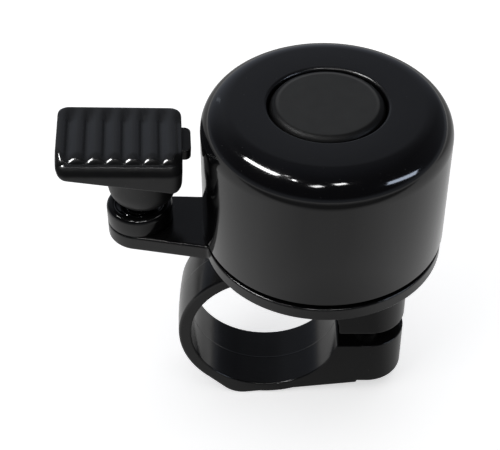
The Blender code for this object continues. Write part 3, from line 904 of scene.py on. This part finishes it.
def moulded_plastic(name, shine, line=False, satin_sides=False):
    """Black plastic. line adds the mould's parting line, satin_sides dulls all but the top and paints
    light on the top, making it paler.
    """
    look = Look(name)
    flow = look.noise(90, 4, 0.6, (1, 1, 2.5))
    dust = look.spread(look.noise(2600, 2, 0.5), 0.70, 0.78, 0, 1)
    colour = look.mix(flow, (0.0030, 0.0030, 0.0032, 1), (0.0062, 0.0062, 0.0064, 1))
    colour = look.mix(look.sums("MULTIPLY", dust, 0.10), colour, (0.25, 0.24, 0.22, 1))
    colour = look.mix(look.worn_edges(0.05), colour, grey(0.10))
    haze = look.spread(look.noise(320, 5, 0.65), 0.3, 0.7, shine - 0.05, shine + 0.07)
    wipes = look.spread(look.noise(700, 3, 0.7, (0.12, 1.0, 1.0)), 0.45, 0.75, 0.0, 0.06)
    roughness = look.sums("ADD", haze, wipes)
    specular = 0.5
    if satin_sides:
        upward, leaning = look.flatness(0.775, 0.85), look.flatness(0.12, 0.30)
        roughness = look.sums("ADD", roughness, look.spread(upward, 0, 1, 0.26, 0.0))
        sides = look.spread(leaning, 0, 1, 0.62, 0.15)
        specular = look.sums("ADD", sides, look.spread(upward, 0, 1, 0, 0.7))
        # Painted light: where the surface faces up it is mixed to a paler grey, standing in for the
        # light the top catches.
        painted_top_light = look.spread(upward, 0, 1, 0.2, 0.8)
        colour = look.mix(painted_top_light, colour, (0.0155, 0.016, 0.0165, 1))
    heights = [
        (look.noise(240, 2, 0.4), 0.00006, 0.18),
        (look.noise(5200, 4, 0.6), 0.000012, 0.25),
    ]
    if line:
        off_middle = look.sums("ABSOLUTE", look.part(look.where, "Y"), 0.0)
        ridge = look.spread(off_middle, 0.00002, 0.00012, 1.0, 0.0)
        under_plate = metres((0, 0, PLATE_BOTTOM - 1.0))[2]
        below = look.spread(look.part(look.where, "Z"), under_plate, under_plate + 0.0005, 1.0, 0.0)
        heights.append((look.sums("MULTIPLY", ridge, below), 0.00005, 0.45))
    look.set(Base_Color=colour, Roughness=roughness, IOR=1.5, Specular_IOR_Level=specular)
    look.bump(heights)
    return look.material


def gloss_paint():
    """Glossy outside, duller inside the recess, where polish doesn't reach."""
    look = Look("gloss_black_paint")
    depth = look.noise(140, 3, 0.5)
    colour = look.mix(depth, (0.0018, 0.0018, 0.0024, 1), (0.0036, 0.0034, 0.0038, 1))
    haze = look.spread(look.noise(260, 4, 0.6), 0.3, 0.7, 0.07, 0.12)
    from_axis = look.radius(metres((AT["dome_x"], 0, 0)))
    dust = look.spread(look.noise(3100, 2, 0.5), 0.72, 0.79, 0, 0.12)
    colour = look.mix(dust, colour, grey(0.25))
    look.set(
        Base_Color=colour,
        Roughness=look.mix_value(from_axis, 0.0086, 0.0093, 0.30, haze),
        IOR=1.5,
        Coat_Weight=0.15,
        Coat_Roughness=0.03,
    )
    look.bump([
        (look.noise(420, 2, 0.4), 0.00003, 0.22),
        (look.noise(1500, 3, 0.5), 0.000008, 0.22),
    ])
    return look.material


def matte_cap():
    """Matte face with painted shade on the rolled edge and a painted highlight round the face at the
    back.
    """
    look = Look("matte_cap_plastic")
    grain = look.noise(6500, 4, 0.6)
    face = look.mix(look.noise(500, 4, 0.6), (0.026, 0.0265, 0.026, 1), (0.036, 0.0365, 0.036, 1))
    # Painted highlight: a paler ring round the flat face, strongest at the back, stands in for light
    # caught at the crease.
    highlight_ring = look.spread(look.radius(metres((AT["dome_x"], 0, 0))), 0.00655, 0.0068, 0.0, 1.0)
    back = look.spread(look.part(look.where, "Y"), -0.003, 0.005, 0.0, 0.9)
    face = look.mix(look.sums("MULTIPLY", highlight_ring, back), face, grey(0.075))
    # Painted shade: all but the flat face is near black, darkening the rolled edge.
    colour = look.mix(look.flatness(0.95), grey(0.004), face)
    look.set(
        Base_Color=colour,
        Roughness=look.spread(grain, 0.3, 0.7, 0.42, 0.56),
        IOR=1.5,
        Specular_IOR_Level=0.2,
    )
    look.bump([(grain, 0.00002, 0.35), (look.noise(900, 3, 0.5), 0.00003, 0.15)])
    return look.material


def metal(name, light, dark, shine, stretch=(1, 1, 12)):
    """Brushed metal with faint stains between its light and dark colours."""
    look = Look(name)
    brushed = look.noise(1800, 4, 0.6, stretch)
    stain = look.noise(350, 4, 0.6)
    colour = look.mix(stain, (*dark, 1), (*light, 1))
    look.set(
        Base_Color=colour,
        Metallic=1.0,
        Roughness=look.spread(brushed, 0.3, 0.7, shine - 0.07, shine + 0.1),
    )
    look.bump([(brushed, 0.00002, 0.2)])
    return look.material


def rubber():
    look = Look("black_rubber")
    grain = look.noise(4200, 5, 0.7)
    colour = look.mix(look.noise(600, 3, 0.5), grey(0.010), (0.022, 0.022, 0.021, 1))
    look.set(Base_Color=colour, Roughness=look.spread(grain, 0.3, 0.7, 0.6, 0.85))
    look.bump([(grain, 0.00004, 0.5)])
    return look.material


def make_looks():
    zinc = (0.62, 0.62, 0.60), (0.45, 0.46, 0.47)
    blackened_screw = (0.20, 0.20, 0.195), (0.11, 0.11, 0.11)
    blackened_block = (0.060, 0.058, 0.056), (0.030, 0.030, 0.030)
    oiled_wire = (0.07, 0.07, 0.07), (0.035, 0.035, 0.036)
    yellow_brass = (0.78, 0.57, 0.24), (0.60, 0.42, 0.16)
    return {
        "moulding": moulded_plastic("black_moulded_plastic", 0.13, line=True),
        "plastic": moulded_plastic("black_cup_plastic", 0.11),
        "lever": moulded_plastic("black_lever_plastic", 0.14, satin_sides=True),
        "paint": gloss_paint(),
        "cap": matte_cap(),
        "steel": metal("zinc_plated_steel", *zinc, 0.26),
        "screw": metal("blackened_screw_steel", *blackened_screw, 0.3),
        "striker": metal("blackened_steel", *blackened_block, 0.34, (8, 1, 1)),
        "spring": metal("oiled_black_spring_steel", *oiled_wire, 0.28, (1, 1, 1)),
        "brass": metal("plain_brass", *yellow_brass, 0.3),
        "rubber": rubber(),
    }


def dress_hidden_hardware(looks):
    """Fasteners keep their CAD shape, with eased edges, and take a finished material."""
    for name, look in HIDDEN_HARDWARE.items():
        node = frame["nodes"][name]
        node.data.materials.clear()
        node.data.materials.append(looks[look])
        ease = node.modifiers.new("eased_edges", "BEVEL")
        ease.width = EASED_EDGE * MM
        ease.segments = 2
        ease.limit_method = "ANGLE"
        ease.angle_limit = radians(40)
        ease.use_clamp_overlap = True


# ---------------------------------------------------------------- floor, light and camera

def mirrored_glow(look):
    """How bright the floor looks in the bell's surfaces.

    It is bright round the bell, dimmer right below the dome, behind it and further in front,
    and bright again towards the horizon.
    """
    low = AT["floor"]
    across = look.part(look.where, "Y")
    to_spot = look.distance(metres((*DIM_SPOT, low)))
    to_shade = look.distance(metres((*DOME_SHADE, low)))
    # Painted shade: the floor only glows in reflections and casts no shadow there, so the dimmer
    # places stand in for the shade under the dome, behind it and in front.
    glow = look.spread(to_spot, 0.025, 0.065, 0.46, FLOOR_GLOW)
    for share in (
        look.spread(to_shade, 0.012, 0.038, 0.36, 1.0),
        look.spread(across, 0.05, 0.12, 1.0, 0.45),
        look.spread(across, -0.13, -0.085, 0.20, 1.0),
    ):
        glow = look.sums("MULTIPLY", glow, share)
    in_front = look.spread(across, -0.42, -0.15, 0.32, 0.0)
    all_round = look.spread(look.distance(metres((0, 0, low))), 0.32, 0.75, 0.0, FLOOR_GLOW)
    return look.sums("MAXIMUM", look.sums("MAXIMUM", glow, in_front), all_round)


def build_floor():
    """A pale floor that catches the bell's shadow and fades to white with distance."""
    low, size = AT["floor"], FLOOR_HALF
    corners = [(-size, -size, low), (size, -size, low), (size, size, low), (-size, size, low)]
    floor = mesh_object("pale_floor", corners, [[0, 1, 2, 3]])
    look = Look("pale_floor")
    tone = look.mix(look.noise(14, 3, 0.5), grey(0.86), grey(0.88))
    seen = look.node("ShaderNodeLightPath").outputs["Is Camera Ray"]
    look.set(Base_Color=look.mix(seen, grey(0), tone), Roughness=0.9, Specular_IOR_Level=0.0)
    mirrored = look.sums("MULTIPLY", mirrored_glow(look), look.spread(seen, 0, 1, 1, 0))
    away = look.spread(look.distance(metres((0, 0, low))), 0.06, 0.40, FLOOR_GLOW, 1.0)
    direct = look.sums("MULTIPLY", seen, away)
    look.set(Emission_Color=grey(1), Emission_Strength=look.sums("ADD", mirrored, direct))
    floor.data.materials.append(look.material)


def area_light(name, place, size, power, colour=(1, 1, 1), highlight=True):
    """A soft lamp that faces the bell.

    A highlight is only mirrored in the surfaces. The other lamps only light them.
    """
    data = bpy.data.lights.new(name, "AREA")
    data.shape = "RECTANGLE"
    data.size, data.size_y = size[0] * MM, size[1] * MM
    data.energy = power
    data.color = colour
    lamp = bpy.data.objects.new(name, data)
    bpy.context.scene.collection.objects.link(lamp)
    start = metres(place)
    lamp.location = start
    lamp.rotation_euler = (metres(LAMP_AIM) - start).to_track_quat("-Z", "Y").to_euler()
    lamp.visible_glossy = highlight
    lamp.visible_diffuse = not highlight
    return lamp


def tube_light(name, start, end, width, power, colour=(1, 1, 1)):
    """A long thin lamp from start to end that faces the bell."""
    start, end = Vector(start), Vector(end)
    middle = (start + end) / 2
    lamp = area_light(name, middle, ((end - start).length, width), power, colour)
    back = (metres(middle) - metres(LAMP_AIM)).normalized()
    along = (end - start).normalized()
    along = (along - along.dot(back) * back).normalized()
    lamp.rotation_euler = Matrix((along, back.cross(along), back)).transposed().to_euler()
    return lamp


def build_world():
    """A dim room that only the surfaces mirror. The camera itself sees plain white."""
    world = bpy.data.worlds.new("studio")
    bpy.context.scene.world = world
    world.use_nodes = True
    world.node_tree.nodes.clear()
    nodes = Nodes(world.node_tree, "Generated")
    height = nodes.part(nodes.where, "Z")

    ramp = nodes.node("ShaderNodeValToRGB")
    nodes.link(height, ramp.inputs[0])
    stops = ramp.color_ramp.elements
    stops[0].position, stops[1].position = ROOM_TONES[0][0], ROOM_TONES[-1][0]
    for position, _ in ROOM_TONES[1:-1]:
        stops.new(position)
    for stop, (_, colour) in zip(stops, ROOM_TONES):
        stop.color = (*colour, 1)

    share = nodes.spread(nodes.part(nodes.where, "Y"), -0.40, 0.70, 0.0, 1.0)
    for dark, light in ((0.55, 0.05), (-0.85, -0.35)):
        side = nodes.spread(nodes.part(nodes.where, "X"), dark, light, 0.25, 1.0)
        share = nodes.sums("MULTIPLY", share, side)
    horizon = nodes.spread(height, 0.22, 0.08, 0.0, 0.55)
    share = nodes.sums("MAXIMUM", share, horizon)
    room = nodes.mix(share, (0.035, 0.035, 0.04, 1), ramp.outputs["Color"])
    seen = nodes.node("ShaderNodeLightPath").outputs["Is Camera Ray"]
    back = nodes.node("ShaderNodeBackground")
    nodes.link(nodes.mix(seen, room, grey(1)), back.inputs["Color"])
    nodes.link(back.outputs[0], nodes.node("ShaderNodeOutputWorld").inputs[0])


def build_light():
    build_world()
    for name, place, width, power in SOFT_LAMPS:
        area_light(name, place, (width, width), power, highlight=False)
    for tube in TUBE_LAMPS:
        tube_light(*tube)
    for name, place, width, power in SMALL_LAMPS:
        area_light(name, place, (width, width), power)


def build_camera():
    data = bpy.data.cameras.new("camera")
    data.sensor_fit = "HORIZONTAL"
    data.sensor_width = SENSOR_WIDTH
    data.lens = LENS
    camera = bpy.data.objects.new("camera", data)
    bpy.context.scene.collection.objects.link(camera)
    forward, right = Vector(CAMERA_FORWARD), Vector(CAMERA_RIGHT)
    turned = Matrix((right, right.cross(forward), -forward)).transposed().to_4x4()
    camera.matrix_world = Matrix.Translation(metres(CAMERA_PLACE)) @ turned
    bpy.context.scene.camera = camera


def main():
    looks = make_looks()
    build_moulding(looks)
    build_dome(looks)
    build_cap(looks)
    build_cup(looks)
    build_spring(looks)
    build_lever(looks)
    build_seen_screws(looks)
    dress_hidden_hardware(looks)
    build_floor()
    build_light()
    build_camera()
    bpy.context.scene.view_settings.view_transform = "Standard"


main()
